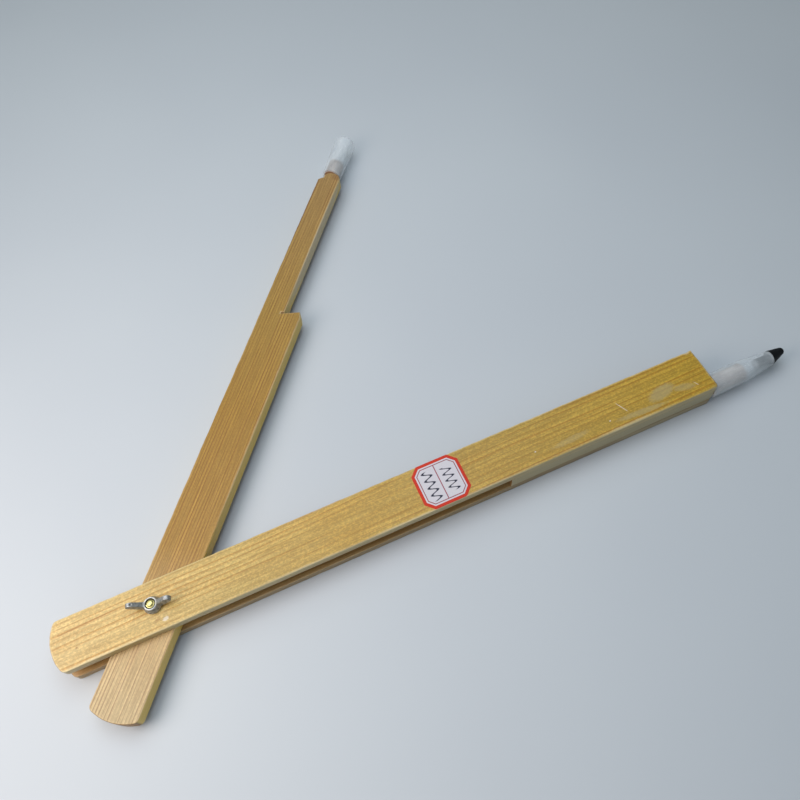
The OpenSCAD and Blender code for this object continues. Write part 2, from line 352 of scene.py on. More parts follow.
cheek_outline = round_end(-board_low.x, board_width, head_arc, end_corner) + tip_end(board_high.y)
sink_radius, sink_rim, sink_depth, neck_top = 0.00555, 0.0004, 0.0033, 0.0055
lower_board = board(
    "lower_board", cheek_outline, board_low.z, board_high.z, (0.0006, 0.00035), 3.0,
    holes=[(0.0, 0.0, [
        (sink_radius, board_low.z, 0), (sink_radius, sink_rim, 0), (bolt_hole, sink_depth, 0),
        (bolt_hole, sink_depth, 1), (bolt_hole, neck_top, 1), (bolt_hole, neck_top, 0),
        (bolt_hole, board_high.z, 0)])],
)
lower_board.data.materials.append(wood(
    "lower_board_pine", early=(0.50, 0.32, 0.13), late=(0.31, 0.16, 0.05), pith=(18, -60),
    ring=2.3, slope=0.02, side=(0.33, 0.24, 0.12, 0.6), end=(0.30, 0.15, 0.05),
    arris=(0.62, 0.47, 0.27, 0.6),
    lengthways=((-63, (1.05, 0.98, 0.95)), (-20, (1.0, 1.0, 1.0)), (387, (0.92, 0.95, 1.0))),
    marks=[((0.47, 0.38, 0.21), (348, -16, 3.2), (52, 2.5, 3.4), 0, 0.8, 0.4)],
))
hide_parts("lower_cheek")
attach(lower_board, "sheath")

# ---- Spacer block -----------------------------------------------------------
# Pine strip glued between the outer boards along one edge of their tip half, so
# that the swing leg's narrow part folds in beside it. The glue under its end has
# let go and left a thin gap, and a dark strip painted along the strip's lower edge
# stands for the shade in it.

block_low, block_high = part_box("spacer_block")
gap_length, gap_height = 0.052, 0.0008


def opened_glue_line(x):
    return block_low.z + gap_height * max(0.0, (x - block_high.x) / gap_length + 1)


spacer = board(
    "spacer_strip",
    [(block_low.x, block_high.y), (block_low.x, block_low.y)] + tip_end(block_high.y),
    opened_glue_line, block_high.z, (0.00012, 0.0001), 11.0,
)
spacer.data.materials.append(wood(
    "spacer_pine", early=(0.56, 0.42, 0.2), late=(0.36, 0.23, 0.09), pith=(-40, -30),
    ring=1.5, slope=-0.008, side=(0.47, 0.4, 0.22, 0.7), end=(0.42, 0.21, 0.07),
    arris=(0.4, 0.32, 0.2, 0.3),
    lengthways=((234, (1.0, 1.0, 1.0)), (387, (0.95, 0.96, 0.95))),
    # Painted shade: a dark strip along the lower edge stands for the shade in the opened glue gap.
    marks=[((0.17, 0.07, 0.02), (356, -16, 7.0), (42, 2.5, 0.75), 0, 0.95, 0.35)],
))
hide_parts("spacer_block")
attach(spacer, "sheath")

# ---- Swing leg --------------------------------------------------------------
# One pine board that turns between the outer boards. Past a sawn step it narrows
# to pass the spacer strip, and the saw ran a little past the step's inner corner.
# Its straight close grain shows red-brown under the varnish.

socket = next(m for m in frame["record"]["mounts"] if m["name"] == "chalk_socket")
leg_turn = math.atan2(socket["axis"][1], socket["axis"][0])


def leg_box(node):
    """Lowest and highest corner of a node on the swing leg, as that leg lies along +X."""
    turned = Matrix.Rotation(-leg_turn, 4, "Z")
    points = [turned @ v.co for v in frame["nodes"][node].data.vertices]
    return [Vector([pick(p[i] for p in points) for i in range(3)]) for pick in (min, max)]


leg_low, leg_high = leg_box("swing_leg")
narrow_width = 0.018
narrow_edge = leg_high.y - narrow_width
step_x, step_lean, step_cut = 0.2268, 0.0036, (0.005, 0.0021)
kerf_width, kerf_depth = 0.0009, 0.0024
narrow_round, shoulder_round, shoulder_in = 0.007, 0.0045, 0.0039
shoulder_start, shoulder_stop = 0.0088, 0.0056
tail_arc, swing_hole = 0.034, 0.00256

swing_outline = (
    round_end(-leg_low.x, leg_high.y - leg_low.y, tail_arc, end_corner)
    + [
        (step_x + step_lean - step_cut[0], leg_low.y),
        (step_x + step_lean, leg_low.y + step_cut[1]),
        (step_x, narrow_edge),
        (step_x - kerf_width / 2, narrow_edge + kerf_depth),
        (step_x + kerf_width / 2, narrow_edge + kerf_depth),
        (step_x + kerf_width / 2, narrow_edge),
    ]
    + arc(leg_high.x - narrow_round, narrow_edge + narrow_round, narrow_round, 270, 360, 16)
    + arc(leg_high.x - shoulder_round, leg_high.y - shoulder_in - shoulder_round, shoulder_round, 0, 90, 12)
    + [(leg_high.x - shoulder_stop, leg_high.y - shoulder_in), (leg_high.x - shoulder_start, leg_high.y)]
)
swing_board = board(
    "swing_board", swing_outline, leg_low.z, leg_high.z, (0.0005, 0.00055), 23.0,
    holes=[(0.0, 0.0, [(swing_hole, leg_low.z, 0), (swing_hole, leg_high.z, 0)])],
    turn=leg_turn,
)
swing_board.data.materials.append(wood(
    "swing_board_pine", early=(0.63, 0.37, 0.14), late=(0.30, 0.12, 0.035), pith=(-120, 6),
    ring=2.1, slope=0.004, side=(0.80, 0.55, 0.10, 0.85), end=(0.36, 0.2, 0.085),
    arris=(0.75, 0.56, 0.32, 0.65), turn=leg_turn, ring_depth=1.0, fleck=0.12, waver=0.9,
    marks=[((0.58, 0.47, 0.30), (303, narrow_edge * 1000, 13), (80, 1.4, 9), 0, 0.8, 0.5),
           ((0.22, 0.10, 0.03), (335, leg_high.y * 1000, 17), (60, 1.3, 4), 0, 0.7, 0.6),
           ((0.26, 0.12, 0.04), (370, 1, 17), (5, 5, 2), 0, 0.5, 1.0)],
    lengthways=((-66, (0.98, 1.26, 1.7)), (-15, (0.98, 1.14, 1.3)), (40, (0.73, 0.68, 0.27)),
                (140, (0.70, 0.64, 0.18)), (225, (0.72, 0.72, 0.32)), (374, (0.78, 0.80, 0.72))),
))
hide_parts("swing_leg")
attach(swing_board, "swing")

# ---- Upper outer board ------------------------------------------------------
# Planed pine board, the top layer of the sheath leg, glued to the spacer strip.
# The varnish is darker toward the tip, the arrises are painted pale as wear and
# painted highlight, and old glue and paint have left spots and scratches on its face.

top_low, top_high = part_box("upper_cheek")
face = top_high.z * 1000
upper_board = board(
    "upper_board", cheek_outline, top_low.z, top_high.z, (0.00018, 0.0007), 7.0,
    holes=[(0.0, 0.0, [(bolt_hole, top_low.z, 0), (bolt_hole, top_high.z, 0)])],
    dents=[(0.3845, 0.016, 0.003, 0.0011), (0.322, -0.016, 0.02, 0.0006), (0.3892, -0.011, 0.009, 0.0008),
           (0.3885, -0.0155, 0.004, 0.0004)],
)
residue, chalk_white, rust = (0.48, 0.38, 0.18), (0.85, 0.82, 0.74), (0.36, 0.15, 0.035)
upper_board.data.materials.append(wood(
    "upper_board_pine", early=(0.83, 0.57, 0.205), late=(0.56, 0.27, 0.055), pith=(-70, -22),
    ring=2.9, slope=-0.012, side=(0.52, 0.44, 0.24, 0.72), end=(0.36, 0.17, 0.045),
    arris=(0.9, 0.76, 0.46, 0.75), ring_depth=1.0, fleck=0.24, waver=1.3,
    lengthways=((-63, (0.87, 0.92, 1.09)), (-20, (0.84, 0.88, 0.94)), (50, (0.73, 0.74, 0.60)),
                (125, (0.71, 0.65, 0.32)), (240, (0.66, 0.61, 0.27)), (387, (0.71, 0.65, 0.19))),
    marks=[
        (rust, (-39, 7, face), (24, 0.6, 2), 2.5, 0.55, 0.9),
        (rust, (-48, -5, face), (0.9, 0.7, 2), 0, 0.6, 0.6),
        (rust, (0.5, -9.0, face), (2.4, 1.4, 2), 30, 0.42, 1.0),
        (chalk_white, (5.0, -10.5, face), (2.4, 1.5, 2), 20, 0.5, 1.0),
        (chalk_white, (255, -7, face), (0.7, 0.5, 2), 0, 0.8, 0.4),
        (chalk_white, (310, -8, face), (0.7, 0.5, 2), 0, 0.8, 0.4),
        (chalk_white, (322.5, -3, face), (6, 0.35, 2), -64, 0.6, 1.4),
        (chalk_white, (376.5, -7.8, face), (2.5, 0.3, 2), -60, 0.65, 1.2),
        (residue, (280, -9, face), (17, 2.6, 2), 3, 0.35, 1.1),
        (residue, (333, -11, face), (22, 2.4, 2), -3, 0.5, 1.0),
        (residue, (352, -4, face), (13, 5.5, 2), 12, 0.6, 0.5),
        (residue, (368, -7, face), (10, 3.2, 2), -12, 0.45, 0.8),
    ],
))
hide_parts("upper_cheek")
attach(upper_board, "sheath")

# ---- Paper label ------------------------------------------------------------
# Gummed stock label with its corners cut, stuck across the upper board. Printed
# with a red frame and a divider; its two columns hold only wavy pen strokes.

label_low, label_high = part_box("paper_label")
label_centre = (label_low + label_high) / 2
label_half = (label_high - label_low) / 2
label_cut = 0.0054


def label_outline(shrink):
    x, y = label_half.x - shrink, label_half.y - shrink
    cut = label_cut - shrink * (2 - math.sqrt(2))
    quarter = [(x, y - cut), (x - cut, y), (cut - x, y), (-x, y - cut)]
    return quarter + [(-px, -py) for px, py in quarter]


def label_mesh():
    """Thin sheet whose rim lies a little lower than its middle, where the gum holds best."""
    bm = bmesh.new()
    thick = label_half.z * 2
    rings = []
    for shrink, height in ((0.0, 0.0), (0.0, thick * 0.6), (0.0006, thick * 0.8), (0.002, thick)):
        rim = walk(label_outline(shrink), 0.001)
        count = 112
        rim = [rim[round(i * len(rim) / count) % len(rim)] for i in range(count)]
        z = label_low.z + height
        rings.append([bm.verts.new((label_centre.x + x, label_centre.y + y, z)) for x, y in rim])
    for lower, upper in zip(rings, rings[1:]):
        for i in range(len(lower)):
            j = (i + 1) % len(lower)
            bm.faces.new((lower[i], lower[j], upper[j], upper[i]))
    bm.faces.new(rings[-1])
    bm.faces.new(reversed(rings[0]))
    bmesh.ops.recalc_face_normals(bm, faces=bm.faces)
    return new_piece("label_sheet", bm)


def label_paper():
    material, tree, shader = bare_material("label_paper")
    coords = add(tree, "TexCoord")["Object"]
    place = add(tree, "Mapping", {"Vector": coords, "Location": tuple(-1000 * c for c in label_centre),
                                  "Scale": (1000.0,) * 3})[0]
    x, y = add(tree, "SeparateXYZ", {0: place})[:2]
    half_x, half_y, cut = label_half.x * 1000, label_half.y * 1000, label_cut * 1000
    from_x = calc(tree, "SUBTRACT", half_x, calc(tree, "ABSOLUTE", x))
    from_y = calc(tree, "SUBTRACT", half_y, calc(tree, "ABSOLUTE", y))
    slant = calc(tree, "SUBTRACT", calc(tree, "ADD", from_x, from_y), cut)
    slant = calc(tree, "MULTIPLY", slant, math.sqrt(0.5))
    edge = calc(tree, "MINIMUM", calc(tree, "MINIMUM", from_x, from_y), slant)
    fuzz = grain_noise(tree, place, (0.35, 0.35, 0.35), 2.0)
    edge = calc(tree, "ADD", edge, calc(tree, "MULTIPLY", calc(tree, "SUBTRACT", fuzz, 0.5), 0.18))

    def stroke(distance, half_width):
        return span(tree, distance, half_width, half_width * 0.45)

    def wave(middle, swing, length, low, high):
        """How far a point is from a pen's wavy line that runs across the leg."""
        phase = add(tree, "Math", {0: calc(tree, "MULTIPLY", y, 2 * math.pi / length)}, operation="SINE")[0]
        line = calc(tree, "ADD", middle, calc(tree, "MULTIPLY", phase, swing))
        away = calc(tree, "MULTIPLY", calc(tree, "ABSOLUTE", calc(tree, "SUBTRACT", x, line)), 0.6)
        past = calc(tree, "MAXIMUM", calc(tree, "SUBTRACT", low, y), calc(tree, "SUBTRACT", y, high))
        return calc(tree, "MAXIMUM", away, past)

    paper = blend(tree, span(tree, fuzz, 0.3, 0.7), (0.66, 0.61, 0.65), (0.74, 0.69, 0.71))
    stain = grain_noise(tree, place, (9, 9, 9), 2.0, lift=3.0)
    paper = blend(tree, span(tree, stain, 0.5, 0.8, 0.0, 0.3), paper, (0.74, 0.70, 0.64))
    red = blend(tree, span(tree, fuzz, 0.3, 0.7), (0.60, 0.028, 0.012), (0.68, 0.05, 0.02))
    colour = blend(tree, span(tree, edge, 2.15, 1.95), paper, red)
    colour = blend(tree, stroke(calc(tree, "ABSOLUTE", calc(tree, "SUBTRACT", edge, 3.3)), 0.36), colour,
                   (0.30, 0.05, 0.06))
    inner = span(tree, edge, 3.1, 3.3)
    divider = stroke(calc(tree, "ABSOLUTE", calc(tree, "ADD", x, 0.3)), 0.42)
    colour = blend(tree, calc(tree, "MULTIPLY", divider, inner), colour, (0.33, 0.05, 0.07))
    ink = calc(tree, "MAXIMUM", stroke(wave(-6.6, 2.6, 5.2, -10.4, 9.6), 0.8),
               stroke(wave(6.2, 2.8, 4.6, -8.4, 7.6), 0.8))
    colour = blend(tree, calc(tree, "MULTIPLY", ink, inner), colour, (0.022, 0.022, 0.045))
    tree.links.new(colour, shader.inputs["Base Color"])
    tree.links.new(span(tree, fuzz, 0.3, 0.7, 0.55, 0.75), shader.inputs["Roughness"])
    bump = add(tree, "Bump", {"Strength": 0.25, "Distance": 0.00005, "Height": fuzz})[0]
    tree.links.new(bump, shader.inputs["Normal"])
    shader.inputs["Specular IOR Level"].default_value = 0.3
    return material


label = label_mesh()
label.data.materials.append(label_paper())
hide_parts("paper_label")
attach(label, "sheath")

# ---- Pivot bolt -------------------------------------------------------------
# M5 countersunk bolt with a square neck that bites into the lower board, so that
# only the nut turns. Yellow passivated zinc, cold headed, with a rolled thread.

bolt_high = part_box("pivot_bolt")[1]
bolt_head, head_rim, head_depth, under_head, neck_end = bolt_high.x, 0.0004, 0.0032, 0.0026, 0.0053
shank, root, pitch = 0.0025, 0.00215, 0.0008
thread_start, thread_runout, thread_stop = 0.0125, 0.0004, 0.0014


def soften(profile, size, steps=4):
    """The same profile with each inner corner rounded, by at most size and 45% of its sides."""
    points = [Vector(p) for p in profile]
    rounded = [points[0]]
    for before, corner, after in zip(points, points[1:], points[2:]):
        reach = min(size, 0.45 * (corner - before).length, 0.45 * (after - corner).length)
        start = corner + (before - corner).normalized() * reach
        end = corner + (after - corner).normalized() * reach
        for i in range(steps + 1):
            t = i / steps
            rounded.append(start * (1 - t) ** 2 + corner * 2 * t * (1 - t) + end * t ** 2)
    return rounded + [points[-1]]


def lathe(name, profile, origin=(0, 0, 0), axis=(0, 0, 1), steps=72, smooth_under=35, square=()):
    """Turned piece: its profile is (radius, distance along the axis). A profile that starts and
    ends on the axis is solid, and any other is a closed ring. Rings in square are squared off."""
    bm = bmesh.new()
    on_axis = profile[0][0] < 1e-9
    rings = []
    for i, (radius, height) in enumerate(profile):
        if radius < 1e-9:
            rings.append([bm.verts.new((0, 0, height))])
            continue
        ring = []
        for k in range(steps):
            a = 2 * math.pi * (k + 0.5) / steps
            reach = radius / max(abs(math.cos(a)), abs(math.sin(a))) if i in square else radius
            ring.append(bm.verts.new((reach * math.cos(a), reach * math.sin(a), height)))
        rings.append(ring)
    pairs = list(zip(rings, rings[1:])) + ([] if on_axis else [(rings[-1], rings[0])])
    for lower, upper in pairs:
        for i in range(steps):
            j = (i + 1) % steps
            if len(lower) == 1:
                bm.faces.new((lower[0], upper[j], upper[i]))
            elif len(upper) == 1:
                bm.faces.new((lower[i], lower[j], upper[0]))
            else:
                bm.faces.new((lower[i], lower[j], upper[j], upper[i]))
    bmesh.ops.recalc_face_normals(bm, faces=bm.faces)
    turn = Vector((0, 0, 1)).rotation_difference(Vector(axis)).to_matrix().to_4x4()
    bm.transform(Matrix.Translation(Vector(origin)) @ turn)
    return new_piece(name, bm, smooth_under)


def metal(name, bright, dull, roughness, grime, scale=1.0, cast=0.0, metallic=0.85, rub_and_highlight=None):
    """Plated or cast zinc, bright and dull in patches. Given a rubbed colour, it paints rubbed spots pale, as
    wear and as painted highlight, and the bore near black as painted shade.
    """
    material, tree, shader = bare_material(name)
    coords = add(tree, "TexCoord")["Object"]
    place = add(tree, "Mapping", {"Vector": coords, "Scale": (1000.0 * scale,) * 3})[0]
    cloud = grain_noise(tree, place, (3.1, 3.1, 3.1), 4.0, 0.6)
    speck = grain_noise(tree, place, (0.45, 0.45, 0.45), 3.0, 0.6, lift=5.0)
    colour = blend(tree, span(tree, cloud, 0.3, 0.7), dull, bright)
    colour = blend(tree, span(tree, speck, 0.52, 0.75, 0.0, 0.6), colour, grime)
    if rub_and_highlight:
        # Rubbed spots are painted pale, as wear and as painted highlight.
        wear_and_highlight_share = add(tree, "Attribute", attribute_name="rub_and_highlight")["Fac"]
        wear_and_highlight_share = calc(tree, "MULTIPLY", wear_and_highlight_share, span(tree, cloud, 0.35, 0.55, 0.5, 1.0))
        bore_shade = add(tree, "Attribute", attribute_name="bore_shade")["Fac"]
        colour = blend(tree, wear_and_highlight_share, colour, rub_and_highlight)
        # Painted shade: the bore is painted near black.
        colour = blend(tree, calc(tree, "MULTIPLY", bore_shade, 0.9), colour, (0.02, 0.02, 0.018))
    tree.links.new(colour, shader.inputs["Base Color"])
    rough = calc(tree, "ADD", span(tree, cloud, 0.3, 0.7, roughness + 0.12, roughness - 0.06),
                 span(tree, speck, 0.5, 0.8, 0.0, 0.15))
    tree.links.new(rough, shader.inputs["Roughness"])
    relief = calc(tree, "ADD", calc(tree, "MULTIPLY", speck, 0.5 + cast), calc(tree, "MULTIPLY", cloud, cast))
    bump = add(tree, "Bump", {"Strength": 0.35, "Distance": 0.00012, "Height": relief})[0]
    tree.links.new(bump, shader.inputs["Normal"])
    shader.inputs["Metallic"].default_value = metallic
    return material


def thread_tree():
    """Geometry nodes that wind a triangular ridge round a core."""
    tree = bpy.data.node_groups.new("rolled_thread", "GeometryNodeTree")
    face = tree.interface
    face.new_socket("Geometry", in_out="INPUT", socket_type="NodeSocketGeometry")
    sockets = {}
    for label_text, kind in (("Core radius", "Float"), ("Pitch", "Float"), ("Length", "Float"),
                             ("Start height", "Float"), ("Finish", "Material")):
        sockets[label_text] = face.new_socket(label_text, in_out="INPUT", socket_type="NodeSocket" + kind)
    face.new_socket("Geometry", in_out="OUTPUT", socket_type="NodeSocketGeometry")

    def put(kind, **inputs):
        made = tree.nodes.new(kind)
        for key, value in inputs.items():
            key = key.replace("_", " ")
            if isinstance(value, bpy.types.NodeSocket):
                tree.links.new(value, made.inputs[key])
            else:
                made.inputs[key].default_value = value
        return made

    given = tree.nodes.new("NodeGroupInput").outputs
    turns = put("ShaderNodeMath")
    turns.operation = "DIVIDE"
    tree.links.new(given["Length"], turns.inputs[0])
    tree.links.new(given["Pitch"], turns.inputs[1])
    spiral = put("GeometryNodeCurveSpiral", Resolution=40, Rotations=turns.outputs[0],
                 Start_Radius=given["Core radius"], End_Radius=given["Core radius"], Height=given["Length"])
    ridge = put("ShaderNodeMath")
    ridge.operation = "MULTIPLY"
    tree.links.new(given["Pitch"], ridge.inputs[0])
    ridge.inputs[1].default_value = 0.44
    section = put("GeometryNodeCurvePrimitiveCircle", Resolution=3, Radius=ridge.outputs[0])
    sweep = put("GeometryNodeCurveToMesh", Curve=spiral.outputs[0], Profile_Curve=section.outputs["Curve"],
                Fill_Caps=True)
    lift = put("ShaderNodeCombineXYZ", Z=given["Start height"])
    placed = put("GeometryNodeTransform", Geometry=sweep.outputs[0], Translation=lift.outputs[0])
    joined = tree.nodes.new("GeometryNodeJoinGeometry")
    tree.links.new(placed.outputs[0], joined.inputs[0])
    tree.links.new(given["Geometry"], joined.inputs[0])
    real = put("GeometryNodeRealizeInstances", Geometry=joined.outputs[0])
    finish = put("GeometryNodeSetMaterial", Geometry=real.outputs[0], Material=given["Finish"])
    out = tree.nodes.new("NodeGroupOutput")
    tree.links.new(finish.outputs[0], out.inputs[0])
    return tree, {key: socket.identifier for key, socket in sockets.items()}


def settle(piece, smooth_under=35):
    """Turns a piece's modifiers into plain mesh and takes them off."""
    shown = piece.evaluated_get(bpy.context.evaluated_depsgraph_get())
    mesh = bpy.data.meshes.new_from_object(shown)
    piece.modifiers.clear()
    piece.data = mesh
    mesh.set_sharp_from_angle(angle=math.radians(smooth_under))
    return piece


def cut_thread(piece, finish, core, length, start):
    """Winds the rolled thread onto a piece."""
    tree, names = thread_tree()
    wind = piece.modifiers.new("thread", "NODES")
    wind.node_group = tree
    for key, value in (("Core radius", core), ("Pitch", pitch), ("Length", length),
                       ("Start height", start), ("Finish", finish)):
        wind[names[key]] = value
    return settle(piece, 40)


bolt_profile = [
    (0, 0), (bolt_head, 0), (bolt_head, head_rim), (under_head, head_depth),
    (shank, head_depth), (shank, neck_end), (shank, neck_end), (shank, thread_start),
    (root, thread_start + thread_runout), (root, bolt_high.z - 0.0009),
    (root - 0.0005, bolt_high.z - 0.00015), (root - 0.0009, bolt_high.z), (0, bolt_high.z),
]
bolt = lathe("pivot_bolt_body", bolt_profile, square=(4, 5))
yellow_zinc = metal("yellow_zinc", bright=(0.9, 0.82, 0.33), dull=(0.66, 0.52, 0.2), roughness=0.3,
                    grime=(0.3, 0.22, 0.08))
cut_thread(bolt, yellow_zinc, root, bolt_high.z - thread_stop - thread_start, thread_start + thread_runout)
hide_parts("pivot_bolt")
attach(bolt, "sheath")

# ---- Washer -----------------------------------------------------------------
# Stamped steel washer under the wing nut, galvanised grey, with its edges eased
# a little by the punch and by tumbling.

washer_low, washer_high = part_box("nut_washer")
washer_start = (bolt_hole, washer_low.z + 0.0003)
washer_profile = soften([
    washer_start, (bolt_hole, washer_low.z), (washer_high.x, washer_low.z),
    (washer_high.x, washer_high.z), (bolt_hole, washer_high.z), washer_start], 0.0002)
washer = lathe("washer_ring", washer_profile[:-1])
grey_zinc = metal("grey_zinc", bright=(0.52, 0.525, 0.535), dull=(0.3, 0.305, 0.31), roughness=0.42,
                  grime=(0.12, 0.12, 0.115), cast=0.6)
washer.data.materials.append(grey_zinc)
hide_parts("nut_washer")
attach(washer, "washer")

# ---- Wing nut ---------------------------------------------------------------
# Zinc alloy die casting: a round hub and two ears whose roots flow into it. A ring
# on top of the hub, the ears' upward faces and the hub's foot are painted pale, as
# wear and as painted highlight, and the bore is painted near black as painted
# shade. An ejector pin left a pit in one ear.

nut_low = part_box("wing_nut")[0]
hub_height, hub_foot, hub_top, foot_height = 0.005, 0.0053, 0.0039, 0.0012
nut_bore, bore_flare, bore_mouth = 0.0024, 0.0029, 0.0032
ear_turn = math.radians(-13)
ear_root, ear_root_radius = (0.0042, 0.0026), 0.0024
ear_tip, ear_tip_radius = (0.0109, 0.0078), 0.0026
ear_thick = (0.0032, 0.0026)
pit_place, pit_radius, pit_depth = 0.0098, 0.0008, 0.0007


def ear_section():
    """Outline of an ear seen from its side: two discs and the straight lines that touch both."""
    (x0, z0), (x1, z1) = ear_root, ear_tip
    gap = math.hypot(x1 - x0, z1 - z0)
    lean = math.degrees(math.atan2(z1 - z0, x1 - x0))
    open_by = math.degrees(math.acos((ear_root_radius - ear_tip_radius) / gap))
    return (arc(x1, z1, ear_tip_radius, lean - open_by, lean + open_by, 16)
            + arc(x0, z0, ear_root_radius, lean + open_by, lean + 360 - open_by, 16))


def cast_nut():
    """Hub and ears run together as in the mould, then smoothed so that the roots flow."""
    hub = [(nut_bore, 0.0004), (bore_flare, 0), (hub_foot, 0), (hub_foot, foot_height), (hub_top, hub_height),
           (bore_mouth, hub_height), (bore_flare, hub_height - 0.0012), (nut_bore, hub_height - 0.0016)]
    nut = lathe("wing_nut_casting", soften(hub + hub[:1], 0.0003)[:-1])
    bm = bmesh.new()
    bm.from_mesh(nut.data)
    for side in (0, math.pi):
        section = ear_section()
        turn = Matrix.Rotation(ear_turn + side, 4, "Z")
        faces = []
        for half in (-1, 1):
            ring = []
            for x, z in section:
                share = min(1.0, max(0.0, (x - ear_root[0]) / (ear_tip[0] - ear_root[0])))
                y = half * (ear_thick[0] * (1 - share) + ear_thick[1] * share) / 2
                ring.append(bm.verts.new(turn @ Vector((x, y, z))))
            faces.append(ring)
        near, far = faces
        bm.faces.new(near)
        bm.faces.new(reversed(far))
        for i in range(len(near)):
            j = (i + 1) % len(near)
            bm.faces.new((near[j], near[i], far[i], far[j]))
    bmesh.ops.recalc_face_normals(bm, faces=bm.faces)
    bm.transform(Matrix.Translation((0, 0, nut_low.z)))
    bm.to_mesh(nut.data)
    bm.free()
    merge = nut.modifiers.new("mould", "REMESH")
    merge.mode, merge.voxel_size, merge.adaptivity = "VOXEL", 0.00022, 0.0
    flow = nut.modifiers.new("flow", "SMOOTH")
    flow.factor, flow.iterations = 0.5, 3
    settle(nut, 60)
    pit = Matrix.Rotation(ear_turn + math.pi, 4, "Z") @ Vector((pit_place, 0.0, 0))
    crown = nut_low.z + ear_tip[1] + ear_tip_radius
    for vert in nut.data.vertices:
        away = math.hypot(vert.co.x - pit.x, vert.co.y - pit.y) / pit_radius
        if away < 1 and vert.co.z > crown - 0.0015:
            vert.co.z -= pit_depth * (1 - away * away)
    # Painted highlight and wear: a ring on the hub's top, the ears' upward-facing faces and the hub's foot
    # are marked to be painted pale.
    rub_and_highlight = nut.data.attributes.new("rub_and_highlight", "FLOAT", "POINT")
    # Painted shade: the bore is marked to be painted near black.
    bore_shade = nut.data.attributes.new("bore_shade", "FLOAT", "POINT")
    for i, vert in enumerate(nut.data.vertices):
        out = math.hypot(vert.co.x, vert.co.y)
        up = vert.co.z - nut_low.z
        from_rim = abs(out - (bore_mouth + hub_top) / 2) / 0.0008
        rim = max(0.0, 1 - from_rim) if up > hub_height - 0.0007 else 0.0
        crest = max(0.0, vert.normal.z - 0.8) * 2 if out > 0.0075 else 0.0
        foot = 0.5 if up < foot_height and out < hub_foot + 0.0002 else 0.0
        rub_and_highlight.data[i].value = min(1.0, rim * 1.6 + crest + foot)
        bore_shade.data[i].value = 1.0 if out < bore_mouth and up < hub_height - 0.0002 else 0.0
    return nut


nut = cast_nut()
nut.data.materials.clear()
nut.data.materials.append(metal(
    "cast_zinc", bright=(0.40, 0.40, 0.385), dull=(0.19, 0.19, 0.175), roughness=0.42,
    grime=(0.06, 0.056, 0.045), scale=1.8, cast=2.4, metallic=0.4, rub_and_highlight=(0.80, 0.80, 0.78),
))
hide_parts("wing_nut")
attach(nut, "nut")

# ---- Foot peg ---------------------------------------------------------------
# Turned beech peg glued into the sheath leg's tip. Its thick end carries the
# plastic sleeve and shows through it as a warm shade.

peg_low, peg_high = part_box("foot_peg")
foot_axis = Vector((math.cos(foot_lean), math.sin(foot_lean), 0))
peg_radius, shank_radius = (peg_high.z - peg_low.z) / 2, 0.0035
shank_length, foot_peg_length = 0.022, 0.0273


def turned_peg(name, thick_length, origin, axis):
    """Peg turned with a shank for the wood, a shoulder and a thick end for its sleeve."""
    profile = soften([(0, -shank_length), (shank_radius, -shank_length), (shank_radius, 0), (peg_radius, 0),
                      (peg_radius, thick_length), (0, thick_length)], 0.0006)
    return lathe(name, profile, origin, axis)


def beech(name, turn):
    return wood(name, early=(0.74, 0.60, 0.52), late=(0.58, 0.42, 0.34), pith=(3, -40), ring=1.6, slope=0.01,
                side=(0.55, 0.38, 0.25, 0.2), end=(0.36, 0.19, 0.1), arris=(0.6, 0.42, 0.3, 0.0), turn=turn,
                lengthways=((300, (1.0, 1.0, 1.0)), (460, (1.0, 1.0, 1.0))), shine=0.6)


foot_peg = turned_peg("foot_peg_turned", foot_peg_length, foot_origin, foot_axis)
foot_peg.data.materials.append(beech("foot_peg_beech", 0.0))
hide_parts("foot_peg")
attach(foot_peg, "sheath")

# ---- Foot sleeve ------------------------------------------------------------
# Frosted polythene tube pushed over the foot peg, straight where the peg fills
# it and then drawn in to grip the rubber tip's stem.

sleeve_low, sleeve_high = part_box("foot_sleeve")
sleeve_radius = (sleeve_high.z - sleeve_low.z) / 2
sleeve_length = 0.0512
straight, neck_in, small_end, stem = 0.0278, 0.006, 0.0052, 0.0034


def frosted(name, turn, milk):
    """Milky polythene, each wall as opaque as milk says, with fine lengthwise scuffs that are also painted
    whiter and more opaque as painted highlight streaks.
    """
    material, tree, shader = bare_material(name)
    coords = add(tree, "TexCoord")["Object"]
    place = add(tree, "Mapping", {"Vector": coords, "Rotation": (0.0, 0.0, -turn), "Scale": (1000.0,) * 3})[0]
    cloud = grain_noise(tree, place, (14, 5, 5), 3.0, lift=1.0)
    scuff_and_streak = grain_noise(tree, place, (5, 0.35, 0.35), 3.0, 0.6, lift=8.0)
    colour = blend(tree, span(tree, cloud, 0.3, 0.7), (0.84, 0.88, 0.91), (0.92, 0.94, 0.95))
    # Lengthwise scuffs are painted whiter and more opaque, as painted highlight streaks as well as scuffing.
    colour = blend(tree, span(tree, scuff_and_streak, 0.55, 0.75, 0.0, 0.5), colour, (0.93, 0.94, 0.95))
    tree.links.new(colour, shader.inputs["Base Color"])
    tree.links.new(span(tree, scuff_and_streak, 0.3, 0.7, 0.3, 0.48), shader.inputs["Roughness"])
    bump = add(tree, "Bump", {"Strength": 0.3, "Distance": 0.0001, "Height": scuff_and_streak})[0]
    tree.links.new(bump, shader.inputs["Normal"])
    milky = calc(tree, "ADD", span(tree, cloud, 0.3, 0.7, milk - 0.05, milk + 0.05),
                 span(tree, scuff_and_streak, 0.58, 0.75, 0.0, 0.2))
    tree.links.new(milky, shader.inputs["Alpha"])
    shader.inputs["IOR"].default_value = 1.5
    return material


